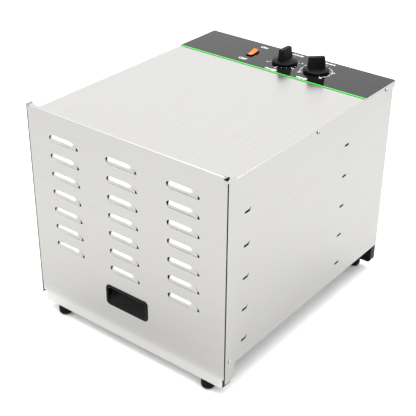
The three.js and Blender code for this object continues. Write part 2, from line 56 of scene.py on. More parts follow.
MM = 0.001
SHEET = 1.0 * MM
INK = 0.04 * MM  # half the thickness of a printed mark
MERGE = 0.002 * MM  # points closer than this are one
FAN_BLADES = 5
MATERIALS = {}
SIDES = (("right", 1.0), ("left", -1.0))
TRAYS = [f"tray_{i:02d}" for i in range(1, 11)]
RUNNERS = [f"runner_{side}_{i}" for side, _ in SIDES for i in range(1, 6)]


# ---------------------------------------------------------------- colour and node helpers
MATH, XYZ, RANGE = "ShaderNodeMath", "ShaderNodeCombineXYZ", "ShaderNodeMapRange"
NOISE, RAMP, BUMP = "ShaderNodeTexNoise", "ShaderNodeValToRGB", "ShaderNodeBump"
COORDINATES = "ShaderNodeTexCoord"
CIRCLE, LINE, SWEEP = "GeometryNodeCurvePrimitiveCircle", "GeometryNodeCurvePrimitiveLine", "GeometryNodeCurveToMesh"
CONE, ROW, MOVE = "GeometryNodeMeshCone", "GeometryNodeMeshLine", "GeometryNodeTransform"
COPIES, REALIZE, JOIN = "GeometryNodeInstanceOnPoints", "GeometryNodeRealizeInstances", "GeometryNodeJoinGeometry"
BOOLEAN = "GeometryNodeMeshBoolean"


def linear(code):
    """An sRGB hex colour as linear RGBA."""
    channels = [int(code[i:i + 2], 16) / 255 for i in (1, 3, 5)]
    return (*[c / 12.92 if c <= 0.04045 else ((c + 0.055) / 1.055) ** 2.4 for c in channels], 1.0)


def shifted(code, step):
    """An sRGB hex colour with every channel moved by a step of 1/255."""
    channels = [min(255, max(0, int(code[i:i + 2], 16) + step)) for i in (1, 3, 5)]
    return "#" + "".join(f"{channel:02X}" for channel in channels)


def add_node(tree, kind, settings=None, inputs=()):
    """Adds a node. Settings are its properties: a bare word is its operation, and stops are a colour ramp's
    (position, sRGB hex) pairs. An input is a plain value, a socket, or a node, which stands for its first
    output. A list joins several of them to one input."""
    node = tree.nodes.new(kind)
    settings = {"operation": settings} if isinstance(settings, str) else dict(settings or {})
    for index, (position, code) in enumerate(settings.pop("stops", ())):
        elements = node.color_ramp.elements
        if index == len(elements):
            elements.new(position)
        elements[index].position = position
        elements[index].color = linear(code)
    for key, value in settings.items():
        setattr(node, key, value)
    for key, value in inputs.items() if isinstance(inputs, dict) else enumerate(inputs):
        for item in value if isinstance(value, list) else [value]:
            item = item.outputs[0] if isinstance(item, bpy.types.Node) else item
            if isinstance(item, bpy.types.NodeSocket):
                tree.links.new(item, node.inputs[key])
            else:
                node.inputs[key].default_value = item
    return node


def new_material(name):
    """An empty material and its tree."""
    material = bpy.data.materials.new(name)
    material.use_nodes = True
    material.node_tree.nodes.clear()
    return material, material.node_tree


def close_material(tree, surface):
    """Ends a material with a Principled shader that has these inputs."""
    shader = add_node(tree, "ShaderNodeBsdfPrincipled", None, surface)
    add_node(tree, "ShaderNodeOutputMaterial", None, {"Surface": shader})


def brushed_steel(name, grain, tone):
    """Brushed 430 stainless sheet. Fine parallel scratches stretch every reflection across the grain, and the
    roller leaves a slow cloudiness. Scratches are 0.3 mm apart; they are drawn 1.2 mm wide so that they show."""
    material, tree = new_material(name)
    across, along, cloudiness = 1 / (1.2 * MM), 1 / (160 * MM), 1 / (120 * MM)
    place = add_node(tree, COORDINATES).outputs["Object"]
    scale = tuple(along if axis == grain else across for axis in "XYZ")
    stretched = add_node(tree, "ShaderNodeMapping", None, {"Vector": place, "Scale": scale})
    fine = add_node(tree, NOISE, None, {"Vector": stretched, "Scale": 1.0, "Detail": 3.0, "Roughness": 0.65})
    cloud = add_node(tree, NOISE, None, {"Vector": place, "Scale": cloudiness, "Detail": 2.0, "Roughness": 0.5})
    patches = add_node(tree, RANGE, None, {"Value": cloud, "To Min": 0.1, "To Max": 0.5})
    uneven = add_node(tree, MATH, "MULTIPLY_ADD", [fine, 0.3, patches])
    close_material(tree, {
        "Base Color": add_node(tree, RAMP, {"stops": [(0.3, shifted(tone, -5)), (0.62, tone)]}, [fine]),
        "Metallic": 1.0,
        "Roughness": add_node(tree, RANGE, None, {"Value": uneven, "To Min": 0.18, "To Max": 0.32}),
        "Normal": add_node(tree, BUMP, None, {"Strength": 0.04, "Distance": 0.03 * MM, "Height": fine}),
    })
    return material


def moulded(name, tone, roughness, grit, depth, coat, shine):
    """Moulded ABS or rubber. A fine spark-eroded texture breaks the highlight into a soft satin."""
    material, tree = new_material(name)
    place = add_node(tree, COORDINATES).outputs["Object"]
    noise = add_node(tree, NOISE, None, {"Vector": place, "Scale": 1 / grit, "Detail": 2.0, "Roughness": 0.6})
    wide = add_node(tree, NOISE, None, {"Vector": place, "Scale": 1 / (18 * MM), "Detail": 1.0})
    low, high = roughness - 0.06, roughness + 0.06
    close_material(tree, {
        "Base Color": add_node(tree, RAMP, {"stops": [(0.35, tone), (0.65, shifted(tone, 7))]}, [wide]),
        "Roughness": add_node(tree, RANGE, None, {"Value": noise, "To Min": low, "To Max": high}),
        "Normal": add_node(tree, BUMP, None, {"Strength": 0.25, "Distance": depth, "Height": noise}),
        "Coat Weight": coat, "Coat Roughness": 0.1, "Specular IOR Level": shine,
    })
    return material


def plain_metal(name, tone, roughness, wear):
    """Drawn or plated metal: a smooth surface with a faint patchy bloom."""
    material, tree = new_material(name)
    place = add_node(tree, COORDINATES).outputs["Object"]
    noise = add_node(tree, NOISE, None, {"Vector": place, "Scale": 1 / (9 * MM), "Detail": 3.0})
    dull, bright = roughness + 0.05, roughness - 0.03
    close_material(tree, {
        "Base Color": add_node(tree, RAMP, {"stops": [(0.3, wear), (0.7, tone)]}, [noise]),
        "Roughness": add_node(tree, RANGE, None, {"Value": noise, "To Min": dull, "To Max": bright}),
        "Metallic": 1.0,
    })
    return material


def overlay_film(name, tone, stripe, edge, width):
    """Reverse-printed polycarbonate film over a black ground. It is glossy enough to mirror the knobs, with a
    bright band printed along its front edge."""
    material, tree = new_material(name)
    place = add_node(tree, COORDINATES).outputs["Object"]
    parts = add_node(tree, "ShaderNodeSeparateXYZ", None, [place])
    band = add_node(tree, MATH, "LESS_THAN", [parts.outputs["Y"], edge + width])
    noise = add_node(tree, NOISE, None, {"Vector": place, "Scale": 1 / (25 * MM), "Detail": 2.0})
    close_material(tree, {
        "Base Color": add_node(tree, RAMP, {"stops": [(0.0, tone), (1.0, stripe)]}, [band]),
        "Roughness": add_node(tree, RANGE, None, {"Value": noise, "To Min": 0.04, "To Max": 0.09}),
        "Specular IOR Level": 0.0, "Coat Weight": 0.85, "Coat IOR": 1.38, "Coat Roughness": 0.04,
    })
    return material


def painted(name, tone):
    """Screen-printed ink: flat, opaque and slightly uneven."""
    material, tree = new_material(name)
    place = add_node(tree, COORDINATES).outputs["Object"]
    noise = add_node(tree, NOISE, None, {"Vector": place, "Scale": 1 / (1.5 * MM), "Detail": 1.0})
    close_material(tree, {
        "Base Color": linear(tone),
        "Roughness": add_node(tree, RANGE, None, {"Value": noise, "To Min": 0.32, "To Max": 0.48}),
    })
    return material


# ---------------------------------------------------------------- mesh helpers
def link(name, data):
    obj = bpy.data.objects.new(name, data)
    bpy.context.scene.collection.objects.link(obj)
    return obj


def object_from(bm, name):
    mesh = bpy.data.meshes.new(name)
    bm.to_mesh(mesh)
    bm.free()
    return link(name, mesh)


def closed(bm, name, merge=True):
    """An object with its faces outwards, and with its doubles merged where its shells don't touch."""
    if merge:
        bmesh.ops.remove_doubles(bm, verts=bm.verts, dist=MERGE)
    bmesh.ops.recalc_face_normals(bm, faces=bm.faces)
    return object_from(bm, name)


def settle(obj):
    """Turns an object and its modifiers into one plain mesh."""
    graph = bpy.context.evaluated_depsgraph_get()
    mesh = bpy.data.meshes.new_from_object(obj.evaluated_get(graph))
    mesh.transform(obj.matrix_world)
    old, name = obj.data, obj.name
    bpy.data.objects.remove(obj)
    if isinstance(old, bpy.types.Curve):
        bpy.data.curves.remove(old)
    mesh.name = name
    return link(name, mesh)


def dress(obj, finish, body, slot, *nodes, angle=35):
    """Gives a finished piece its material and its body, and hides the CAD nodes that it stands for. Its slot is not
    used.
    """
    obj.data.materials.clear()
    obj.data.materials.append(MATERIALS[finish])
    for face in obj.data.polygons:
        face.material_index = 0
    obj.data.shade_smooth()
    obj.data.set_sharp_from_angle(angle=math.radians(angle))
    even = obj.modifiers.new("Even shading", "WEIGHTED_NORMAL")
    even.keep_sharp = True
    even.weight = 80
    obj = settle(obj)
    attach(obj, body)
    if nodes:
        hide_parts(*nodes)


def join_rings(bm, low, high):
    """Joins two closed rings of as many points with a band of faces."""
    for i in range(len(low)):
        j = (i + 1) % len(low)
        bm.faces.new((low[i], low[j], high[j], high[i]))


def add_prism(bm, points, axis, low, high):
    """Extrudes a closed outline along an axis. Points are (y, z) for X, (x, z) for Y and (x, y) for Z."""
    order = {"X": lambda a, b, t: (t, a, b), "Y": lambda a, b, t: (a, t, b), "Z": lambda a, b, t: (a, b, t)}[axis]
    rings = [[bm.verts.new(order(a, b, t)) for a, b in points] for t in (low, high)]
    bm.faces.new(rings[0])
    bm.faces.new(list(reversed(rings[1])))
    join_rings(bm, rings[1], rings[0])


def arc(cx, cy, radius, start, end, steps=5):
    angles = [math.radians(start + (end - start) * i / steps) for i in range(steps + 1)]
    return [(cx + radius * math.cos(a), cy + radius * math.sin(a)) for a in angles]


def rounded_rectangle(cx, cy, width, height, radius, steps=5):
    x, y = width / 2 - radius, height / 2 - radius
    points = []
    for sx, sy, start in ((1, -1, -90), (1, 1, 0), (-1, 1, 90), (-1, -1, 180)):
        points += arc(cx + sx * x, cy + sy * y, radius, start, start + 90, steps)
    return points


def add_turned(bm, profile, steps, place):
    """A closed surface of revolution about Z from (radius, height) pairs in mm, placed by a matrix."""
    rings = []
    for radius, height in profile:
        angles = [2 * math.pi * i / steps for i in range(steps if radius else 1)]
        ring = [Vector((radius * math.cos(a), radius * math.sin(a), height)) * MM for a in angles]
        rings.append([bm.verts.new(place @ point) for point in ring])
    for low, high in zip(rings, rings[1:]):
        if len(low) == len(high):
            join_rings(bm, low, high)
            continue
        for i in range(steps):
            j = (i + 1) % steps
            bm.faces.new((low[0], high[j], high[i]) if len(low) == 1 else (low[i], low[j], high[0]))


def fold_profile(leg, radius):
    """An L of sheet with a rounded fold at the origin corner. It runs along +a and, just past the fold, +b."""
    outer = arc(radius, radius, radius, 270, 180)
    inner = arc(radius, radius, radius - SHEET, 180, 270) if radius > SHEET else [(SHEET, SHEET)]
    return [(leg, 0.0), *outer, (0.0, radius), (SHEET, radius), *inner, (leg, SHEET)]


def thicken(obj, thickness):
    """Gives a skin its wall, on the inside."""
    wall = obj.modifiers.new("Wall", "SOLIDIFY")
    wall.thickness = thickness
    wall.offset = -1.0
    return settle(obj)


def bevel(obj, width, segments):
    modifier = obj.modifiers.new("Bevel", "BEVEL")
    modifier.width = width
    modifier.segments = segments
    modifier.limit_method = "ANGLE"
    modifier.angle_limit = math.radians(30)
    return settle(obj)


def ease(name, node, width, segments, *look):
    """Stands a merged copy of a CAD solid, with its edges eased, in for it. A look is its finish, body and slot."""
    bm = bmesh.new()
    bm.from_mesh(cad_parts[node].data)
    bmesh.ops.remove_doubles(bm, verts=bm.verts, dist=MERGE)
    bmesh.ops.dissolve_limit(bm, angle_limit=math.radians(1), verts=bm.verts, edges=bm.edges)
    dress(bevel(object_from(bm, name), width, segments), *look, node)


def mesh_of(curve):
    """A curve or text as a mesh that no object holds."""
    flat = settle(link(curve.name, curve))
    mesh = flat.data
    bpy.data.objects.remove(flat)
    return mesh


def plate(outline, holes):
    """A flat plate of the sheet's thickness in XY, centred on z = 0, with holes, as a mesh."""
    curve = bpy.data.curves.new("plate", "CURVE")
    curve.dimensions = "2D"
    curve.fill_mode = "BOTH"
    curve.extrude = SHEET / 2
    for points in (outline, *holes):
        spline = curve.splines.new("POLY")
        spline.points.add(len(points) - 1)
        for point, (a, b) in zip(spline.points, points):
            point.co = (a, b, 0, 1)
        spline.use_cyclic_u = True
    return mesh_of(curve)


def add_mesh(bm, mesh, matrix):
    mesh.transform(matrix)
    bm.from_mesh(mesh)
    bpy.data.meshes.remove(mesh)


# These stand an XY plate up in the XZ plane, facing -Y, and in the YZ plane.
STAND_FRONT = Matrix(((1, 0, 0, 0), (0, 0, -1, 0), (0, 1, 0, 0), (0, 0, 0, 1)))
STAND_SIDE = Matrix(((0, 0, 1, 0), (1, 0, 0, 0), (0, 1, 0, 0), (0, 0, 0, 1)))


# ---------------------------------------------------------------- geometry-nodes helpers
def node_tree(name, sizes):
    """A geometry tree with named inputs, each (name, default), and its input node's outputs."""
    tree = bpy.data.node_groups.new(name, "GeometryNodeTree")
    tree.interface.new_socket("Geometry", in_out="INPUT", socket_type="NodeSocketGeometry")
    for label, default in sizes:
        kind = "NodeSocketInt" if isinstance(default, int) else "NodeSocketFloat"
        socket = tree.interface.new_socket(label, in_out="INPUT", socket_type=kind)
        socket.default_value = default
    tree.interface.new_socket("Geometry", in_out="OUTPUT", socket_type="NodeSocketGeometry")
    return tree, add_node(tree, "NodeGroupInput").outputs


def close_tree(tree, geometry, material):
    whole = add_node(tree, REALIZE, None, [geometry])
    coated = add_node(tree, "GeometryNodeSetMaterial", None, {"Geometry": whole, "Material": material})
    add_node(tree, "NodeGroupOutput", None, [coated])


def grow(name, tree, values, points=((0, 0, 0),), facing=()):
    """Runs a geometry tree on a cloud of points and returns the object, still with its modifier."""
    mesh = bpy.data.meshes.new(name)
    mesh.from_pydata(points, [], [])
    if facing:
        attribute = mesh.attributes.new("facing", "FLOAT_VECTOR", "POINT")
        for i, direction in enumerate(facing):
            attribute.data[i].vector = direction
    obj = link(name, mesh)
    modifier = obj.modifiers.new("Nodes", "NODES")
    modifier.node_group = tree
    identifiers = {s.name: s.identifier for s in tree.interface.items_tree if s.in_out == "INPUT"}
    for label, value in values.items():
        modifier[identifiers[label]] = value
    return obj


def wire_tray_tree(material):
    """A welded wire tray: a rounded rim, close wires front to back and a few stiffeners across."""
    tree, size = node_tree("Wire tray", [
        ("Half width", 0.199), ("Front", -0.2348), ("Depth", 0.356), ("Level", 0.08), ("Rim radius", 0.002),
        ("Wire radius", 0.0009), ("Wires", 32), ("Stiffeners", 6), ("Corner", 0.01),
    ])
    rim = size["Rim radius"]
    right = add_node(tree, MATH, "SUBTRACT", [size["Half width"], rim])
    left = add_node(tree, MATH, "MULTIPLY", [right, -1.0])
    width = add_node(tree, MATH, "MULTIPLY", [right, 2.0])
    depth = add_node(tree, MATH, "MULTIPLY_ADD", [rim, -2.0, size["Depth"]])
    front = add_node(tree, MATH, "ADD", [size["Front"], rim])
    rear = add_node(tree, MATH, "ADD", [front, depth])
    middle = add_node(tree, MATH, "MULTIPLY_ADD", [depth, 0.5, front])
    level = add_node(tree, MATH, "ADD", [size["Level"], rim])
    outline = add_node(tree, "GeometryNodeCurvePrimitiveQuadrilateral", None, {"Width": width, "Height": depth})
    rounded = add_node(
        tree, "GeometryNodeFilletCurve", {"mode": "POLY"}, {"Curve": outline, "Count": 5, "Radius": size["Corner"]}
    )
    centre = add_node(tree, XYZ, None, {"Y": middle, "Z": level})
    path = add_node(tree, MOVE, None, {"Geometry": rounded, "Translation": centre})
    rod = add_node(tree, CIRCLE, None, {"Resolution": 10, "Radius": rim})
    wire = add_node(tree, CIRCLE, None, {"Resolution": 8, "Radius": size["Wire radius"]})
    pieces = [add_node(tree, SWEEP, None, {"Curve": path, "Profile Curve": rod})]
    # number, side of the rim's middle, axis along a wire with its ends, axis across with its start and reach
    for count, lift, along, start, end, across, first, reach in (
        (size["Wires"], 1.0, "Y", front, rear, "X", left, width),
        (size["Stiffeners"], -1.0, "X", left, right, "Y", front, depth),
    ):
        z = add_node(tree, MATH, "MULTIPLY_ADD", [size["Wire radius"], lift, level])
        ends = [add_node(tree, XYZ, None, {along: place, "Z": z}) for place in (start, end)]
        line = add_node(tree, LINE, None, {"Start": ends[0], "End": ends[1]})
        straight = add_node(tree, SWEEP, None, {"Curve": line, "Profile Curve": wire, "Fill Caps": True})
        gaps = add_node(tree, MATH, "ADD", [count, 1.0])
        pitch = add_node(tree, MATH, "DIVIDE", [reach, gaps])
        offset = add_node(tree, XYZ, None, {across: pitch})
        begin = add_node(tree, XYZ, None, {across: add_node(tree, MATH, "ADD", [first, pitch])})
        places = add_node(tree, ROW, None, {"Count": count, "Start Location": begin, "Offset": offset})
        pieces.append(add_node(tree, COPIES, None, {"Points": places, "Instance": straight}))
    close_tree(tree, add_node(tree, JOIN, None, [pieces]), material)
    return tree


def louvre_tree(material):
    """One pressed bridge louvre on each point: a soft hood that sinks towards its right end."""
    tree, size = node_tree("Bridge louvre", [
        ("Length", 0.058), ("Half height", 0.0071), ("Rise", 0.0048), ("Shoulder", 0.3),
        ("Droop", 1.25), ("Softness", 1.2),
    ])
    sheet = {"Size X": 2.0, "Size Y": 2.0, "Vertices X": 33, "Vertices Y": 15}
    grid = add_node(tree, "GeometryNodeMeshGrid", None, sheet)
    place = add_node(tree, "ShaderNodeSeparateXYZ", None, [add_node(tree, "GeometryNodeInputPosition")])
    u, v = place.outputs["X"], place.outputs["Y"]
    # past the shoulder the hood's top follows a quarter of an ellipse down to its right end
    past = add_node(tree, RANGE, None, {"Value": u, "From Min": size["Shoulder"]})
    squared = add_node(tree, MATH, "MULTIPLY", [past, past])
    level = add_node(tree, MATH, "SQRT", [add_node(tree, MATH, "SUBTRACT", [1.0, squared])])
    drop = add_node(tree, MATH, "MULTIPLY", [add_node(tree, MATH, "SUBTRACT", [1.0, level]), size["Droop"]])
    # the left end starts lower over the first 7 % of the length
    opening = {"Value": u, "From Min": -1.0, "From Max": -0.86, "To Min": 0.78}
    start = add_node(tree, RANGE, {"interpolation_type": "SMOOTHSTEP"}, opening)
    share = add_node(tree, MATH, "MULTIPLY", [start, add_node(tree, MATH, "MULTIPLY_ADD", [drop, -0.66, 1.0])])
    angle = add_node(tree, MATH, "MULTIPLY", [v, math.pi / 2])
    arch = add_node(tree, MATH, "MAXIMUM", [add_node(tree, MATH, "COSINE", [angle]), 0.0])
    swell = add_node(tree, MATH, "POWER", [arch, size["Softness"]])
    out = add_node(tree, MATH, "MULTIPLY", [swell, size["Rise"]])
    half_length = add_node(tree, MATH, "MULTIPLY", [size["Length"], 0.5])
    up = add_node(tree, MATH, "ADD", [v, 1.0])
    squash = add_node(tree, MATH, "MULTIPLY_ADD", [drop, -0.5, 1.0])
    height = add_node(tree, MATH, "MULTIPLY_ADD", [up, squash, -1.0])
    shaped = add_node(tree, "GeometryNodeSetPosition", None, {
        "Geometry": grid,
        "Position": add_node(tree, XYZ, None, [
            add_node(tree, MATH, "MULTIPLY", [u, half_length]),
            add_node(tree, MATH, "MULTIPLY", [out, add_node(tree, MATH, "MULTIPLY", [share, -1.0])]),
            add_node(tree, MATH, "MULTIPLY", [height, size["Half height"]]),
        ]),
    })
    close_tree(tree, add_node(tree, COPIES, None, {"Points": size["Geometry"], "Instance": shaped}), material)
    return tree


def screw_tree(material):
    """A pan-head screw with a cross recess on each point, turned to face the way its attribute says."""
    tree, size = node_tree("Pan-head screw", [
        ("Radius", 0.0034), ("Height", 0.0018), ("Recess", 0.0011), ("Recess width", 0.0008),
    ])
    half = add_node(tree, MATH, "MULTIPLY", [size["Height"], 0.5])
    waist = add_node(tree, MATH, "MULTIPLY", [size["Radius"], 0.94])
    crown = add_node(tree, MATH, "MULTIPLY", [size["Radius"], 0.62])
    lower, upper = (
        add_node(tree, CONE, None, {"Vertices": 24, "Radius Bottom": bottom, "Radius Top": top, "Depth": half})
        for bottom, top in ((size["Radius"], waist), (waist, crown))
    )
    lifted = add_node(tree, MOVE, None, {"Geometry": upper, "Translation": add_node(tree, XYZ, None, {"Z": half})})
    head = add_node(tree, BOOLEAN, {"operation": "UNION", "solver": "EXACT"}, {"Mesh 2": [lower, lifted]})
    span = add_node(tree, MATH, "MULTIPLY", [size["Radius"], 1.1])
    deep = add_node(tree, MATH, "MULTIPLY", [size["Recess"], 2.0])
    top = add_node(tree, XYZ, None, {"Z": size["Height"]})
    bars = []
    for sides in ([span, size["Recess width"], deep], [size["Recess width"], span, deep]):
        bar = add_node(tree, "GeometryNodeMeshCube", None, {"Size": add_node(tree, XYZ, None, sides)})
        bars.append(add_node(tree, MOVE, None, {"Geometry": bar, "Translation": top}))
    cut = {"Mesh 1": head, "Mesh 2": bars}
    crossed = add_node(tree, BOOLEAN, {"operation": "DIFFERENCE", "solver": "EXACT"}, cut)
    facing = add_node(tree, "GeometryNodeInputNamedAttribute", {"data_type": "FLOAT_VECTOR"}, {"Name": "facing"})
    towards = {"Vector": facing.outputs["Attribute"]}
    turn = add_node(tree, "FunctionNodeAlignRotationToVector", {"axis": "Z"}, towards)
    copies = add_node(tree, COPIES, None, {"Points": size["Geometry"], "Instance": crossed, "Rotation": turn})
    close_tree(tree, copies, material)
    return tree


def guard_tree(material):
    """A fan guard: round wires in rings about Z, held by spokes."""
    tree, size = node_tree("Fan guard", [
        ("Outer radius", 0.0965), ("Pitch", 0.0078), ("Rings", 11), ("Wire radius", 0.0011), ("Spokes", 4),
    ])
    wire = add_node(tree, CIRCLE, None, {"Resolution": 8, "Radius": size["Wire radius"]})
    circle = add_node(tree, CIRCLE, None, {"Resolution": 64, "Radius": 1.0})
    index = add_node(tree, "GeometryNodeInputIndex")
    inwards = add_node(tree, MATH, "MULTIPLY", [index, size["Pitch"]])
    radius = add_node(tree, MATH, "SUBTRACT", [size["Outer radius"], inwards])
    centres, hubs = (
        add_node(tree, ROW, None, {"Count": size[count], "Offset": (0, 0, 0)}) for count in ("Rings", "Spokes")
    )
    scale = add_node(tree, XYZ, None, [radius, radius, radius])
    rings = add_node(tree, COPIES, None, {"Points": centres, "Instance": circle, "Scale": scale})
    paths = add_node(tree, REALIZE, None, [rings])
    round_wires = add_node(tree, SWEEP, None, {"Curve": paths, "Profile Curve": wire})
    inner_end = add_node(tree, XYZ, None, [add_node(tree, MATH, "MULTIPLY", [size["Pitch"], 1.6])])
    outer_end = add_node(tree, XYZ, None, [size["Outer radius"]])
    line = add_node(tree, LINE, None, {"Start": inner_end, "End": outer_end})
    spoke = add_node(tree, SWEEP, None, {"Curve": line, "Profile Curve": wire, "Fill Caps": True})
    step = add_node(tree, MATH, "DIVIDE", [2 * math.pi, size["Spokes"]])
    turn = add_node(tree, XYZ, None, {"Z": add_node(tree, MATH, "MULTIPLY", [index, step])})
    spokes = add_node(tree, COPIES, None, {"Points": hubs, "Instance": spoke, "Rotation": turn})
    close_tree(tree, add_node(tree, JOIN, None, [[round_wires, spokes]]), material)
    return tree


# ---------------------------------------------------------------- settings
def length(name, description, default_mm):
    return bpy.props.FloatProperty(
        name=name, description=description, default=default_mm * MM, unit="LENGTH", subtype="DISTANCE", precision=4
    )


def colour(name, description, default):
    return bpy.props.StringProperty(name=name, description=description + ", as an sRGB hex code", default=default)


class DEHYDRATOR_PG_sizes(bpy.types.PropertyGroup):
    fold: length("Fold radius", "Outside radius of the folded sheet edges", 2.0)
    louvre_length: length("Louvre length", "Length of each pressed louvre", 58.0)
    louvre_rise: length("Louvre rise", "How far a louvre stands out of the door", 4.8)
    louvre_height: length("Louvre height", "Height of each louvre", 14.2)
    seam: length("Door seam depth", "Depth of the seam beside the door skin", 10.0)
    wire: length("Tray wire radius", "Radius of the fine tray wires", 0.9)
    rim: length("Tray rim radius", "Radius of the tray's rim rod", 2.0)
    stripe: length("Stripe width", "Width of the printed stripe on the control strip", 3.2)
    knob_draft: bpy.props.FloatProperty(
        name="Knob taper", description="Top of the knob's grip as a share of its foot", default=0.72, min=0.3, max=1.0
    )
    tray_wires: bpy.props.IntProperty(name="Tray wires", description="Wires from front to back", default=33, min=3)


class DEHYDRATOR_PG_colours(bpy.types.PropertyGroup):
    steel: colour("Steel", "Brushed stainless sheet", "#C3C2BF")
    wire: colour("Wire", "Chromed wire", "#C8C8C8")
    film: colour("Overlay", "Ground of the control strip", "#101110")
    stripe: colour("Stripe", "Printed stripe along the control strip", "#35BD35")
    ink: colour("Ink", "Printed marks", "#E2E2E0")
    black: colour("Black plastic", "Knobs, handle, legs and switch", "#040404")
    rubber: colour("Rubber", "Feet", "#060606")
    orange: colour("Rocker", "Switch rocker", "#E86400")


def sizes():
    return bpy.context.scene.dehydrator_sizes


def colours():
    return bpy.context.scene.dehydrator_colours


def low_high(node):
    lo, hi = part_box(node)
    return Vector(lo), Vector(hi)


def middle_of(node):
    lo, hi = low_high(node)
    return (lo + hi) / 2


def refinish(node, finish):
    """Gives a CAD node that shows as it is its material."""
    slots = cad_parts[node].data.materials
    slots.clear()
    slots.append(MATERIALS[finish])


# ---------------------------------------------------------------- operators
class DEHYDRATOR_OT_materials(bpy.types.Operator):
    """Make the finishes: brushed stainless, chromed wire, moulded ABS, rubber, printed film and ink"""

    bl_idname = "dehydrator.materials"
    bl_label = "Finishes"

    def execute(self, context):
        tone = colours()
        edge = low_high("control_overlay")[0].y
        for axis, way in (("x", "across"), ("y", "lengthwise"), ("z", "upright")):
            MATERIALS[f"steel_{axis}"] = brushed_steel(f"brushed_stainless_{way}", axis.upper(), tone.steel)
        # colour, roughness and the colour where it is worn
        for finish, name, *look in (
            ("wire", "chromed_wire", tone.wire, 0.16, "#B9BABB"),
            ("zinc", "zinc_plated_steel", "#B9BBBE", 0.38, "#8E9196"),
            ("element", "oxidised_alloy_sheath", "#5A5450", 0.45, "#3E3835"),
            ("screw", "turned_stainless", "#C9C8C5", 0.22, "#B4B3B0"),
        ):
            MATERIALS[finish] = plain_metal(name, *look)
        # colour, roughness, width and depth of the grit, clear coat and shine
        for finish, name, *look in (
            ("black", "moulded_abs_black", tone.black, 0.4, 0.5 * MM, 0.03 * MM, 0.0, 0.11),
            ("rubber", "moulded_rubber", tone.rubber, 0.62, 0.7 * MM, 0.05 * MM, 0.0, 0.1),
            ("orange", "tinted_polycarbonate_orange", tone.orange, 0.16, 2 * MM, 0.01 * MM, 0.2, 0.3),
        ):
            MATERIALS[finish] = moulded(name, *look)
        MATERIALS["film"] = overlay_film("printed_polycarbonate_film", tone.film, tone.stripe, edge, sizes().stripe)
        MATERIALS["ink"] = painted("screen_printed_ink", tone.ink)
        return {"FINISHED"}


class DEHYDRATOR_OT_cover(bpy.types.Operator):
    """Make the top cover, a shallow folded pan with rounded edges"""

    bl_idname = "dehydrator.cover"
    bl_label = "Top cover"

    def execute(self, context):
        lo, hi = low_high("top_cover")
        bm = bmesh.new()
        bmesh.ops.create_cube(bm, size=1.0)
        bmesh.ops.scale(bm, vec=hi - lo, verts=bm.verts)
        bmesh.ops.translate(bm, vec=(lo + hi) / 2, verts=bm.verts)
        under = [f for f in bm.faces if f.normal.z < -0.9]
        bmesh.ops.delete(bm, geom=under, context="FACES_ONLY")
        edges = [e for e in bm.edges if not e.is_boundary]
        bmesh.ops.bevel(
            bm, geom=edges, offset=sizes().fold, offset_type="OFFSET", segments=5, profile=0.5, affect="EDGES",
            clamp_overlap=True,
        )
        cover = thicken(closed(bm, "top_cover_folded"), SHEET)
        dress(cover, "steel_y", "cabinet", "brushed_stainless", "top_cover")
        return {"FINISHED"}


class DEHYDRATOR_OT_sides(bpy.types.Operator):
    """Make both side panels with their hooked slots and folded edges"""

    bl_idname = "dehydrator.sides"
    bl_label = "Side panels"

    def execute(self, context):
        fold = sizes().fold
        half, kick = 2.1 * MM, 4.6 * MM  # half height of a slot, and how far the front slot's end turns up
        for side, sign in SIDES:
            lo, hi = low_high(f"side_panel_{side}")
            outer = hi.x if sign > 0 else lo.x
            holes = []
            for i in range(1, 6):
                run_lo, run_hi = low_high(f"runner_{side}_{i}")
                z = (run_lo.z + run_hi.z) / 2 + SHEET / 2
                y0, y1 = run_lo.y + 28.5 * MM, run_lo.y + 45.5 * MM
                holes.append([
                    (y0 + half, z - half), (y1 - 3.2 * MM, z - half), (y1 - 0.3 * MM, z + kick * 0.55),
                    (y1, z + kick), (y1 - 1.2 * MM, z + kick), (y1 - 3.4 * MM, z + half), (y0 + half, z + half),
                    (y0, z),
                ])
                y0, y1 = run_hi.y - 29.5 * MM, run_hi.y - 15.5 * MM
                holes.append(rounded_rectangle((y0 + y1) / 2, z, y1 - y0, 2 * half, half * 0.98, 3))
            bm = bmesh.new()
            outline = [(lo.y + fold, lo.z + fold), (hi.y, lo.z + fold), (hi.y, hi.z), (lo.y + fold, hi.z)]
            middle = outer - sign * SHEET / 2
            add_mesh(bm, plate(outline, holes), Matrix.Translation((middle, 0, 0)) @ STAND_SIDE)
            corner = fold_profile(hi.x - lo.x, fold)
            bottom = [(outer - sign * a, lo.z + b) for a, b in corner]
            front = [(outer - sign * a, lo.y + b) for a, b in corner]
            add_prism(bm, bottom, "Y", lo.y, hi.y)
            add_prism(bm, front, "Z", lo.z + fold, hi.z)
            obj = closed(bm, f"side_{side}")
            dress(obj, "steel_y", "cabinet", "brushed_stainless", f"side_panel_{side}")
        return {"FINISHED"}


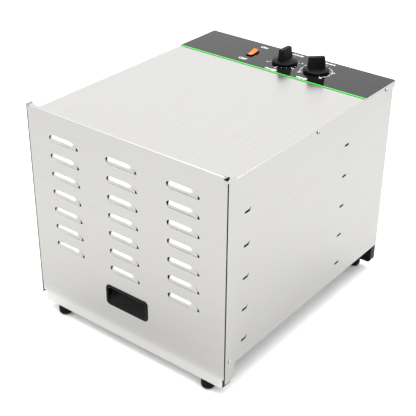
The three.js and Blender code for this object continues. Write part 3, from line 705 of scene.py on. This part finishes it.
class DEHYDRATOR_OT_door_skin(bpy.types.Operator):
    """Make the door skin with its folded top edge, pierced for the louvres and the handle"""

    bl_idname = "dehydrator.door_skin"
    bl_label = "Door skin and louvres"

    def execute(self, context):
        size = sizes()
        lo, hi = low_high("door_panel")
        cup_lo, cup_hi = low_high("door_handle_cup")
        flange = 7 * MM
        face = hi.y - flange
        fold = size.fold
        columns, rows = (-132 * MM, 0.0, 131 * MM), 7
        top, pitch = hi.z - 49.1 * MM, 35.7 * MM
        places = [(x, face, top - i * pitch) for x in columns for i in range(rows)]
        holes = []
        end, half = size.louvre_length / 2, size.louvre_height / 2
        inside = half - 0.6 * MM
        # each hole follows the hood above it and stands past both its ends as a dark slit
        for x, _, z in places:
            bend = [
                (x + end * (0.3 + 0.7 * math.sin(a)), z - half + 2 * inside * (1 - 0.62 * (1 - math.cos(a))))
                for a in map(math.radians, range(0, 90, 15))
            ]
            holes.append([
                (x - end - 5.0 * MM, z - half * 0.5), (x - end, z - inside), (x + end, z - inside),
                (x + end + 3.2 * MM, z - inside), (x + end + 3.8 * MM, z - inside + 2.4 * MM),
                (x + end + 2.2 * MM, z - inside + 5.2 * MM), *reversed(bend), (x - end, z + inside),
                (x - end - 5.0 * MM, z + half * 0.62), (x - end - 6.2 * MM, z + half * 0.36),
                (x - end - 6.2 * MM, z - half * 0.1),
            ])
        cup, rim = cup_hi - cup_lo, 3.2 * MM
        middle = middle_of("door_handle_cup")
        holes.append(rounded_rectangle(0, middle.z, cup.x - 2 * rim, cup.z - 2 * rim, 5 * MM))
        left_end, right_end = -212 * MM, 209.5 * MM  # where the top fold stops at its two corner notches
        outline = [
            (lo.x, lo.z), (hi.x, lo.z), (hi.x, hi.z - 5 * MM), (right_end, hi.z - 5 * MM), (right_end, hi.z - fold),
            (left_end, hi.z - fold), (left_end, hi.z - 4 * MM), (lo.x, hi.z - 4 * MM),
        ]
        bm = bmesh.new()
        add_mesh(bm, plate(outline, holes), Matrix.Translation((0, face + SHEET / 2, 0)) @ STAND_FRONT)
        corner = fold_profile(flange, fold)
        add_prism(bm, [(face + a, hi.z - b) for a, b in corner], "X", left_end, right_end)
        skin = closed(bm, "door_skin")
        dress(skin, "steel_x", "door", "brushed_stainless", "door_panel")
        # A black block set in the right top corner notch paints the shade that lies deep in the gap behind the notch:
        # painted shade.
        bm = bmesh.new()
        x0, x1, z0, z1 = right_end + 0.3 * MM, hi.x - 0.5 * MM, hi.z - 4.8 * MM, hi.z - 0.5 * MM
        outline = [(x0, z0 + 1.2 * MM), (x0, z0), (x1, z0), (x1, z1), (x0 + 3.3 * MM, z1)]
        add_prism(bm, outline, "Y", face + 0.3 * MM, face + 6.5 * MM)
        dress(bevel(closed(bm, "door_corner_painted_shade"), 0.4 * MM, 2), "black", "door", "black_plastic")

        tree = louvre_tree(MATERIALS["steel_x"])
        louvres = grow("door_louvres", tree, {
            "Length": size.louvre_length, "Half height": half, "Rise": size.louvre_rise,
        }, points=places)
        drawn = SHEET * 0.8  # the press thins the hoods
        dress(thicken(louvres, drawn), "steel_x", "door", "brushed_stainless", "door_panel", angle=60)
        return {"FINISHED"}


class DEHYDRATOR_OT_door_channels(bpy.types.Operator):
    """Make the two side channels of the door, with the ear at the top and the round lower corner"""

    bl_idname = "dehydrator.door_channels"
    bl_label = "Door side channels"

    def execute(self, context):
        for side, sign in SIDES:
            depth = sizes().seam if sign > 0 else 2.6 * MM
            lo, hi = low_high(f"door_side_{side}")
            outer = hi.x if sign > 0 else lo.x
            radius = 15 * MM
            lid = low_high("top_cover")[1].z
            outline = [(lo.y, lo.z)] + arc(hi.y - radius, lo.z + radius, radius, 270, 360, 8)
            # the ear curves in from the back edge to the top through one pulled point
            start, pull, end = (Vector(p) for p in (
                (hi.y, lid - 2 * MM), (hi.y - 9 * MM, lid), (hi.y - 10 * MM, hi.z),
            ))
            for i in range(9):
                t = i / 8
                point = start * (1 - t) ** 2 + pull * 2 * t * (1 - t) + end * t * t
                outline.append((point.x, point.y))
            outline.append((lo.y, hi.z))
            pin = middle_of(f"door_catch_{side}")
            hole = arc(pin.y, pin.z, 2.3 * MM, 0, 337.5, 15)
            bm = bmesh.new()
            middle = outer - sign * SHEET / 2
            add_mesh(bm, plate(outline, [hole]), Matrix.Translation((middle, 0, 0)) @ STAND_SIDE)
            # the seam's floor, from the outer wall in, then the return behind the skin
            x0, x1, x2 = (outer - sign * x for x in (SHEET, (4.6 if sign > 0 else 3.8) * MM, hi.x - lo.x))
            deep, behind = lo.y + depth, lo.y + 1.3 * MM
            step = x1 + sign * SHEET
            section = [
                (x0, deep), (x1, deep), (x1, behind + SHEET), (x2, behind + SHEET), (x2, behind), (step, behind),
                (step, deep - SHEET), (x0, deep - SHEET),
            ]
            add_prism(bm, section, "Z", lo.z + 25 * MM, hi.z - 10 * MM)
            obj = closed(bm, f"door_channel_{side}")
            dress(obj, "steel_z", "door", "brushed_stainless", f"door_side_{side}")
        return {"FINISHED"}


class DEHYDRATOR_OT_handle(bpy.types.Operator):
    """Make the moulded handle cup, with an eased rim and a deep pocket"""

    bl_idname = "dehydrator.handle"
    bl_label = "Handle cup"

    def execute(self, context):
        lo, hi = low_high("door_handle_cup")
        centre = (lo + hi) / 2
        width, height = hi.x - lo.x, hi.z - lo.z
        # inset from the rim's edge, depth, corner radius and rise of the pocket's floor, all in mm
        pocket = [
            (0.0, 1.2, 8.0, 0), (0.0, 0.7, 8.0, 0), (0.35, 0.2, 7.7, 0), (1.0, 0.0, 7.0, 0), (3.6, 0.0, 5.0, 0),
            (4.7, 0.4, 4.4, 0), (5.2, 1.4, 4.0, 0.3), (5.5, 4.0, 4.0, 3.2), (5.8, 8.0, 4.0, 8.2),
            (6.2, 12.0, 3.6, 12.6), (6.8, 15.2, 3.2, 15.4), (8.4, 16.4, 2.6, 16.4),
        ]
        back = [(4.0, 18.5, 4.4, 14.0), (3.5, 15.0, 4.4, 11.0), (3.5, 2.1, 4.4, 0)]
        bm = bmesh.new()
        rings = []
        for inset, depth, radius, rise in pocket + back:
            points = rounded_rectangle(
                0, centre.z + rise / 2 * MM, width - 2 * inset * MM, height - (2 * inset + rise) * MM, radius * MM, 6
            )
            rings.append([bm.verts.new((x, lo.y + depth * MM, z)) for x, z in points])
        inner, outer = rings[:len(pocket)], rings[len(pocket):]
        for low, high in (*zip(inner, inner[1:]), *zip(outer, outer[1:]), (outer[-1], inner[0])):
            join_rings(bm, low, high)
        bm.faces.new(inner[-1])
        bm.faces.new(list(reversed(outer[0])))
        cup = closed(bm, "handle_cup")
        dress(cup, "black", "door", "black_plastic", "door_handle_cup", angle=50)
        return {"FINISHED"}


class DEHYDRATOR_OT_trays(bpy.types.Operator):
    """Make the ten wire trays, one on each pair of channel flanges"""

    bl_idname = "dehydrator.trays"
    bl_label = "Wire trays"

    def execute(self, context):
        tree = wire_tray_tree(MATERIALS["wire"])
        for node in TRAYS:
            lo, hi = low_high(node)
            obj = settle(grow(f"wire_{node}", tree, {
                "Half width": hi.x, "Front": lo.y, "Depth": hi.y - lo.y, "Level": lo.z,
                "Rim radius": sizes().rim, "Wire radius": sizes().wire, "Wires": sizes().tray_wires,
            }))
            dress(obj, "wire", f"{node}_body", "bright_wire", node, angle=50)
        return {"FINISHED"}


class DEHYDRATOR_OT_sheet_metal(bpy.types.Operator):
    """Finish the fixed sheet metal: base, rear panel, bulkhead, runners, aprons and bracket"""

    bl_idname = "dehydrator.sheet_metal"
    bl_label = "Inner sheet metal"

    def execute(self, context):
        for node in ("base_pan", "rear_panel", "fan_bulkhead", "motor_bracket", *RUNNERS):
            refinish(node, "steel_y" if node in RUNNERS or node == "base_pan" else "steel_x")
        for node in ("front_apron", "rear_apron"):
            ease(f"{node}_folded", node, 0.45 * MM, 2, "steel_x", "cabinet", "brushed_stainless")
        return {"FINISHED"}


class DEHYDRATOR_OT_fasteners(bpy.types.Operator):
    """Make the pan-head screws, and finish the hinge studs and catch pins"""

    bl_idname = "dehydrator.fasteners"
    bl_label = "Screws, studs and pins"

    def execute(self, context):
        tree = screw_tree(MATERIALS["screw"])
        points, facing, nodes = [], [], []
        sunk, proud = 1.35 * MM, 0.45 * MM  # a head's seat below its CAD screw's end, and above the rear panel
        for side, sign in SIDES:
            for i in (1, 2):
                node = f"lid_screw_{side}_{i}"
                nodes.append(node)
                lo, hi = low_high(node)
                centre = middle_of(node)
                points.append((hi.x - sunk if sign > 0 else lo.x + sunk, centre.y, centre.z))
                facing.append((sign, 0, 0))
        lo, hi = low_high("rear_panel")
        low, high = lo.z + 14 * MM, hi.z - 26 * MM
        for inset, levels in ((10 * MM, (low, (lo.z + hi.z) / 2, high)), (120 * MM, (low,))):
            for z in levels:
                for x in (lo.x + inset, hi.x - inset):
                    points.append((x, hi.y + proud, z))
                    facing.append((0, 1, 0))
        heads = settle(grow("pan_head_screws", tree, {}, points=points, facing=facing))
        dress(heads, "screw", "cabinet", "brushed_stainless", *nodes)
        for side, _ in SIDES:
            for node in (f"door_hinge_stud_{side}", f"door_catch_{side}"):
                ease(f"{node}_turned", node, 0.25 * MM, 2, "screw", "door", "brushed_stainless")
        return {"FINISHED"}


class DEHYDRATOR_OT_feet(bpy.types.Operator):
    """Make the rubber feet and the moulded rear legs"""

    bl_idname = "dehydrator.feet"
    bl_label = "Feet and legs"

    def execute(self, context):
        profile = [
            (0, 2.0), (2.6, 2.0), (2.6, 0.2), (3.0, 0), (7.4, 0), (8.6, 0.3), (10.6, 1.5), (12.1, 3.6), (12.8, 6.0),
            (13, 8.5), (12.2, 18.2), (11.4, 19.3), (10.4, 19.5), (0, 19.5),
        ]
        for where in ("front", "rear"):
            for side, _ in SIDES:
                node = f"{where}_foot_{side}"
                centre = middle_of(node)
                bm = bmesh.new()
                add_turned(bm, profile, 48, Matrix.Translation((centre.x, centre.y, low_high(node)[0].z)))
                obj = closed(bm, f"{node}_moulded")
                dress(obj, "rubber", "cabinet", "foot_rubber", node, angle=50)
        for node in ("rear_leg_left", "rear_leg_right", "front_base_bar"):
            ease(f"{node}_moulded", node, 1.2 * MM, 3, "black", "cabinet", "black_plastic")
        return {"FINISHED"}


def words(text, x, y, z, size):
    """A printed word lying on the control strip, as a mesh centred on (x, y)."""
    curve = bpy.data.curves.new("words", "FONT")
    curve.body = text
    curve.size = size
    curve.align_x = "CENTER"
    curve.align_y = "CENTER"
    curve.extrude = INK
    curve.offset = size * 0.025
    curve.resolution_u = 3
    mesh = mesh_of(curve)
    mesh.transform(Matrix.Translation((x, y, z)))
    return mesh


class DEHYDRATOR_OT_control_strip(bpy.types.Operator):
    """Make the glossy control strip with its printed stripe, words and dial marks"""

    bl_idname = "dehydrator.control_strip"
    bl_label = "Control strip"

    def execute(self, context):
        ease("control_film", "control_overlay", 0.15 * MM, 2, "film", "cabinet", "overlay_film")
        top = low_high("control_overlay")[1].z + INK
        bm = bmesh.new()
        switch, timer, heat = (middle_of(node) for node in ("switch_body", "timer_knob", "thermostat_knob"))
        labels = [
            ("ON", switch.x, switch.y + 41 * MM, 10), ("OFF", switch.x, switch.y - 34 * MM, 10),
            ("TIMER", timer.x - 2 * MM, timer.y - 46.5 * MM, 10), ("HOURS", timer.x, timer.y + 48 * MM, 7.5),
            ("TEMP", heat.x - 4 * MM, heat.y - 46.5 * MM, 10), ("CELSIUS", heat.x, heat.y + 48 * MM, 7.5),
        ]
        for text, x, y, height in labels:
            add_mesh(bm, words(text, x, y, top, height * MM), Matrix())
        # numbers of a dial, its first mark's angle and its sweep; two fine marks stand between two numbers
        for centre, marks, first, sweep in ((timer, range(0, 16, 3), 120, -300), (heat, range(35, 76, 10), 135, -270)):
            gaps = (len(marks) - 1) * 3
            for k in range(gaps + 1):
                angle = math.radians(first + sweep * k / gaps + 90)
                major = k % 3 == 0
                inner, outer = 27 * MM, (30.0 if major else 28.6) * MM
                wide = (0.6 if major else 0.35) * MM
                along = Vector((math.cos(angle), math.sin(angle)))
                cross = Vector((-along.y, along.x)) * wide
                middle = Vector((centre.x, centre.y))
                corners = [
                    middle + along * inner - cross, middle + along * outer - cross,
                    middle + along * outer + cross, middle + along * inner + cross,
                ]
                add_prism(bm, [(p.x, p.y) for p in corners], "Z", top - INK, top + INK)
                if major:
                    spot = middle + along * 34 * MM
                    add_mesh(bm, words(str(marks[k // 3]), spot.x, spot.y, top, 5.6 * MM), Matrix())
        band = arc(heat.x, heat.y, 30.6 * MM, -45, 225, 40) + arc(heat.x, heat.y, 31.4 * MM, 225, -45, 40)
        add_prism(bm, band, "Z", top - INK, top + INK)
        marks = closed(bm, "printed_marks", merge=False)
        dress(marks, "ink", "cabinet", "overlay_film")
        return {"FINISHED"}


class DEHYDRATOR_OT_switch(bpy.types.Operator):
    """Make the rocker switch: a moulded bezel and an orange rocker"""

    bl_idname = "dehydrator.switch"
    bl_label = "Rocker switch"

    def execute(self, context):
        ease("switch_bezel", "switch_body", 0.6 * MM, 3, "black", "cabinet", "black_plastic")
        ease("rocker_cap", "switch_rocker", 0.7 * MM, 3, "orange", "rocker", "orange_lens")
        return {"FINISHED"}


def add_knob(bm, centre, base, top, turn):
    """A skirted pointer knob: a turned skirt and a tapered grip bar."""
    place = Matrix.Translation((centre.x, centre.y, base)) @ Matrix.Rotation(turn, 4, "Z")
    skirt = [
        (0, 0), (23.4, 0), (24.5, 0.5), (25, 1.6), (25, 3.8), (24.6, 4.7), (23.4, 5.4), (18, 6.8), (13, 8.0),
        (10, 8.6), (0, 8.6),
    ]
    add_turned(bm, skirt, 64, place)
    height = (top - base) / MM
    share = sizes().knob_draft
    rings = []
    # height in mm, and width and length as shares of the grip's foot
    for z, width, long in ((4.4, 1.0, 1.0), (6.0, 0.98, 0.99), (height - 2.4, share, 0.92),
                           (height - 0.8, share * 0.94, 0.905), (height, share * 0.78, 0.87)):
        points = rounded_rectangle(0, 0, 15 * MM * width, 34 * MM * long, 2.6 * MM * width, 4)
        rings.append([bm.verts.new(place @ Vector((x, y, z * MM))) for x, y in points])
    for low, high in zip(rings, rings[1:]):
        join_rings(bm, low, high)
    bm.faces.new(rings[-1])
    bm.faces.new(list(reversed(rings[0])))


class DEHYDRATOR_OT_knobs(bpy.types.Operator):
    """Make the timer and thermostat knobs, each with a white pointer line"""

    bl_idname = "dehydrator.knobs"
    bl_label = "Knobs"

    def execute(self, context):
        for node, body, turn in (("timer_knob", "timer", 0.0), ("thermostat_knob", "thermostat", -math.pi / 4)):
            lo, hi = low_high(node)
            centre = (lo + hi) / 2
            base = low_high("control_overlay")[1].z + 0.7 * MM
            bm = bmesh.new()
            add_knob(bm, centre, base, hi.z, turn)
            shaft = [(0, 0), (3, 0), (3, 14.9), (0, 14.9)]
            add_turned(bm, shaft, 24, Matrix.Translation((centre.x, centre.y, lo.z)))
            obj = closed(bm, f"{node}_moulded", merge=False)
            dress(obj, "black", body, "black_plastic", node, angle=40)
            bm = bmesh.new()
            half, inner, outer = 0.5 * MM, 4 * MM, 14 * MM
            line = [(-half, inner), (half, inner), (half, outer), (-half, outer)]
            add_prism(bm, line, "Z", hi.z - 0.3 * MM, hi.z)
            place = Matrix.Translation((centre.x, centre.y, 0)) @ Matrix.Rotation(turn, 4, "Z")
            bmesh.ops.transform(bm, matrix=place, verts=bm.verts)
            pointer = closed(bm, f"{node}_pointer")
            dress(pointer, "ink", body, "black_plastic")
        return {"FINISHED"}


def add_blade(bm, place):
    """A twisted, cambered fan blade along X: wide in the middle and flatter towards its tip."""
    rows, columns = 8, 6
    faces = []
    for offset in (-0.7 * MM, 0.7 * MM):
        grid = []
        for i in range(rows + 1):
            out = i / rows
            radius, pitch = (16 + 66 * out) * MM, math.radians(40 - 14 * out)
            chord = (24 + 14 * math.sin(math.pi * out)) * MM
            row = []
            for j in range(columns + 1):
                s = (j / columns - 0.5) * chord
                camber = 1.6 * MM * (1 - (2 * j / columns - 1) ** 2)
                y = s * math.sin(pitch) * 0.8 + camber + offset
                row.append(bm.verts.new(place @ Vector((radius, y, s * math.cos(pitch)))))
            grid.append(row)
        faces.append(grid)
        for low, high in zip(grid, grid[1:]):
            for j in range(columns):
                bm.faces.new((low[j], high[j], high[j + 1], low[j + 1]))
    rims = [
        [*grid[0], *[row[-1] for row in grid[1:]], *reversed(grid[-1][:-1]), *[row[0] for row in grid[-2:0:-1]]]
        for grid in faces
    ]
    join_rings(bm, *rims)


class DEHYDRATOR_OT_air_system(bpy.types.Operator):
    """Make the fan, its guard, the motor and the heating element, and finish the sealed housings"""

    bl_idname = "dehydrator.air_system"
    bl_label = "Fan and heater"

    def execute(self, context):
        centre = middle_of("fan_guard")
        guard = grow("fan_guard_wires", guard_tree(MATERIALS["wire"]), {})
        guard.matrix_world = Matrix.Translation(centre) @ Matrix.Rotation(math.pi / 2, 4, "X")
        bpy.context.view_layer.update()
        guard = settle(guard)
        dress(guard, "wire", "cabinet", "bright_wire", "fan_guard", angle=60)

        front = low_high("fan_blade")[0].y
        bm = bmesh.new()
        turn = Matrix.Translation((0, front + 1.4 * MM, centre.z)) @ Matrix.Rotation(-math.pi / 2, 4, "X")
        hub = [(0, 0), (13, 0), (16.5, 1.2), (18, 4), (18, 18), (4, 18), (4, 60), (0, 60)]
        add_turned(bm, hub, 40, turn)
        for k in range(FAN_BLADES):
            spin = Matrix.Rotation(2 * math.pi * k / FAN_BLADES, 4, "Y")
            add_blade(bm, Matrix.Translation((0, front + 9.3 * MM, centre.z)) @ spin)
        fan = closed(bm, "fan_moulded", merge=False)
        dress(fan, "black", "fan", "black_plastic", "fan_blade", angle=45)

        for node in ("fan_motor", "timer_body", "thermostat_body"):
            ease(f"{node}_housing", node, 1.5 * MM, 3, "zinc", "cabinet", "grey_metal")
        refinish("heating_element", "element")
        ease("cord_gland_moulded", "cord_gland", 0.7 * MM, 3, "black", "cabinet", "black_plastic")
        return {"FINISHED"}


def softbox(name, location, target, size, power):
    data = bpy.data.lights.new(name, "AREA")
    data.shape = "RECTANGLE"
    data.size, data.size_y = size
    data.energy = power
    light = link(name, data)
    light.location = location
    light.rotation_euler = (Vector(target) - Vector(location)).to_track_quat("-Z", "Y").to_euler()


def lay_sheet(name, corners, z, material):
    """A flat sheet on the floor, as part of the stage."""
    mesh = bpy.data.meshes.new(name)
    mesh.from_pydata([(x, y, z) for x, y in corners], [], [range(len(corners))])
    mesh.materials.append(material)
    sheet = link(name, mesh)
    return sheet


def matt_card(name, corners):
    """A plain grey matt card lying on the floor. Only reflections see it, and it gives the steel a tone to mirror."""
    material, tree = new_material(f"{name}_matt")
    close_material(tree, {"Base Color": linear("#D0D0D0"), "Roughness": 1.0, "Specular IOR Level": 0.0})
    card = lay_sheet(name, corners, 2 * MM, material)
    card.visible_camera = card.visible_diffuse = card.visible_shadow = False


class DEHYDRATOR_OT_stage(bpy.types.Operator):
    """Set the pale floor, the soft studio light and the camera"""

    bl_idname = "dehydrator.stage"
    bl_label = "Stage"

    def execute(self, context):
        scene = context.scene
        matt, tree = new_material("matt_white_floor")
        close_material(tree, {"Base Color": linear("#FBFBFB"), "Roughness": 0.9, "Specular IOR Level": 0.1})
        reach = 12.0
        lay_sheet("floor", ((-reach, -reach), (reach, -reach), (reach, reach), (-reach, reach)), 0, matt)

        matt_card("card_right", ((0.24, -0.35), (2.2, -0.35), (2.2, 2.2), (0.24, 2.2)))
        matt_card("card_left", ((-2.4, -2.4), (0.5, -2.4), (0.5, -0.3), (-2.4, -0.3)))

        world = bpy.data.worlds.new("studio")
        scene.world = world
        world.use_nodes = True
        back = world.node_tree.nodes["Background"]
        back.inputs["Color"].default_value = linear("#FAFAFB")
        back.inputs["Strength"].default_value = 1.28

        softbox("overhead_softbox", (0.2, 0.1, 2.6), (0, 0, 0.2), (2.6, 2.6), 85)
        softbox("front_softbox", (-1.6, -1.9, 2.3), (0, -0.2, 0.3), (1.8, 1.6), 15)
        softbox("back_softbox", (-1.9, 2.5, 2.0), (0, 0, 0.35), (3.0, 2.2), 3.5)
        softbox("side_softbox", (1.75, 2.3, 2.2), (0.2, 0, 0.4), (1.0, 1.6), 6)

        data = bpy.data.cameras.new("camera")
        camera = link("camera", data)
        data.lens = 83.53
        data.sensor_width = 36.0
        data.shift_x = -0.0178
        data.shift_y = -0.0072
        azimuth, elevation, roll = (math.radians(angle) for angle in (37.23, 29.86, -0.80))
        turn = Matrix.Rotation(azimuth, 4, "Z") @ Matrix.Rotation(math.pi / 2 - elevation, 4, "X")
        place = Matrix.Translation((0.9688, -1.2801, 1.1109))
        camera.matrix_world = place @ turn @ Matrix.Rotation(-roll, 4, "Z")
        scene.camera = camera
        scene.view_settings.view_transform = "Standard"
        return {"FINISHED"}


OPERATORS = (
    DEHYDRATOR_OT_materials, DEHYDRATOR_OT_cover, DEHYDRATOR_OT_sides, DEHYDRATOR_OT_door_skin,
    DEHYDRATOR_OT_door_channels, DEHYDRATOR_OT_handle, DEHYDRATOR_OT_trays, DEHYDRATOR_OT_sheet_metal,
    DEHYDRATOR_OT_fasteners, DEHYDRATOR_OT_feet, DEHYDRATOR_OT_control_strip, DEHYDRATOR_OT_switch,
    DEHYDRATOR_OT_knobs, DEHYDRATOR_OT_air_system, DEHYDRATOR_OT_stage,
)


class DEHYDRATOR_PT_panel(bpy.types.Panel):
    """Sizes, colours and the pieces in the order that they are made"""

    bl_idname = "DEHYDRATOR_PT_panel"
    bl_label = "Food dehydrator"
    bl_space_type = "VIEW_3D"
    bl_region_type = "UI"
    bl_category = "Dehydrator"

    def draw(self, context):
        for settings in (context.scene.dehydrator_sizes, context.scene.dehydrator_colours):
            box = self.layout.box()
            for name in settings.__annotations__:
                box.prop(settings, name)
        column = self.layout.column()
        for operator in OPERATORS:
            column.operator(operator.bl_idname)


CLASSES = (DEHYDRATOR_PG_sizes, DEHYDRATOR_PG_colours, *OPERATORS, DEHYDRATOR_PT_panel)


def register():
    for cls in CLASSES:
        bpy.utils.register_class(cls)
    bpy.types.Scene.dehydrator_sizes = bpy.props.PointerProperty(type=DEHYDRATOR_PG_sizes)
    bpy.types.Scene.dehydrator_colours = bpy.props.PointerProperty(type=DEHYDRATOR_PG_colours)


def unregister():
    del bpy.types.Scene.dehydrator_colours
    del bpy.types.Scene.dehydrator_sizes
    for cls in reversed(CLASSES):
        bpy.utils.unregister_class(cls)


def main():
    register()
    for operator in OPERATORS:
        group, name = operator.bl_idname.split(".")
        getattr(getattr(bpy.ops, group), name)()


if __name__ == "__main__":
    main()
